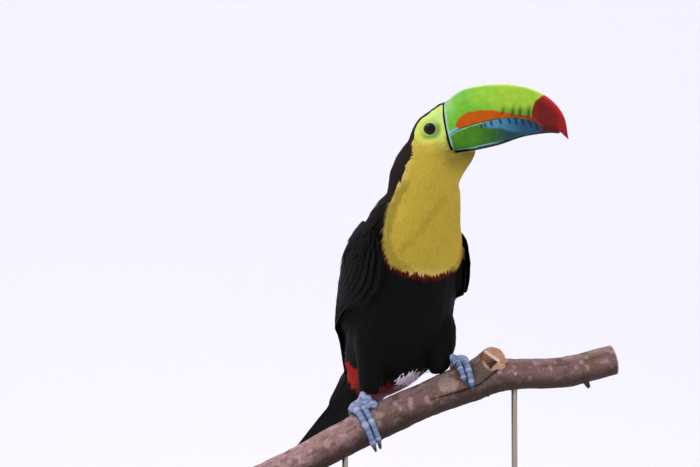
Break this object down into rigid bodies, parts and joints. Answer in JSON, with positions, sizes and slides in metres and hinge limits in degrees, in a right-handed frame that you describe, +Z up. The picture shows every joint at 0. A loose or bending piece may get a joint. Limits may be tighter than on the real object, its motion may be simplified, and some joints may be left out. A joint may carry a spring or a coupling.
{
  "type": "keel-billed toucan",
  "caption": "Life-size keel-billed toucan, a still museum-type model that grips a cut branch held on rods over an oval base.",
  "frame": {"origin": "middle of the underside of the stand's base, on the floor", "axes": "+Z up; the perch climbs along +X, the bird's breast faces between -Y and +X, and its bill points along +X and a little to -Y"},
  "size_m": [0.3779, 0.2562, 0.4696],
  "materials": {
    "black_plumage": "matte",
    "yellow_plumage": "matte",
    "white_plumage": "matte",
    "red_plumage": "matte",
    "bill_green": "satin",
    "bill_blue": "satin",
    "bill_black": "satin",
    "eye": "gloss",
    "foot_blue": "satin",
    "claw": "satin",
    "bark": "matte",
    "stand_wood": "satin",
    "stand_metal": "satin"
  },
  "bodies": {
    "root": {"bill_band": "bill_black", "bill_lower": "bill_blue", "bill_upper": "bill_green", "claw_left_1": "claw", "claw_left_2": "claw", "claw_left_3": "claw", "claw_left_4": "claw", "claw_right_1": "claw", "claw_right_2": "claw", "claw_right_3": "claw", "claw_right_4": "claw", "eye_left": "eye", "eye_right": "eye", "foot_left": "foot_blue", "foot_right": "foot_blue", "head": "yellow_plumage", "neck": "yellow_plumage", "perch": "bark", "rump": "white_plumage", "stand_base": "stand_wood", "stand_rod_left": "stand_metal", "stand_rod_right": "stand_metal", "tail": "black_plumage", "thigh_left": "black_plumage", "thigh_right": "black_plumage", "trunk": "black_plumage", "undertail_coverts": "red_plumage", "wing_left": "black_plumage", "wing_right": "black_plumage"}
  },
  "joints": []
}
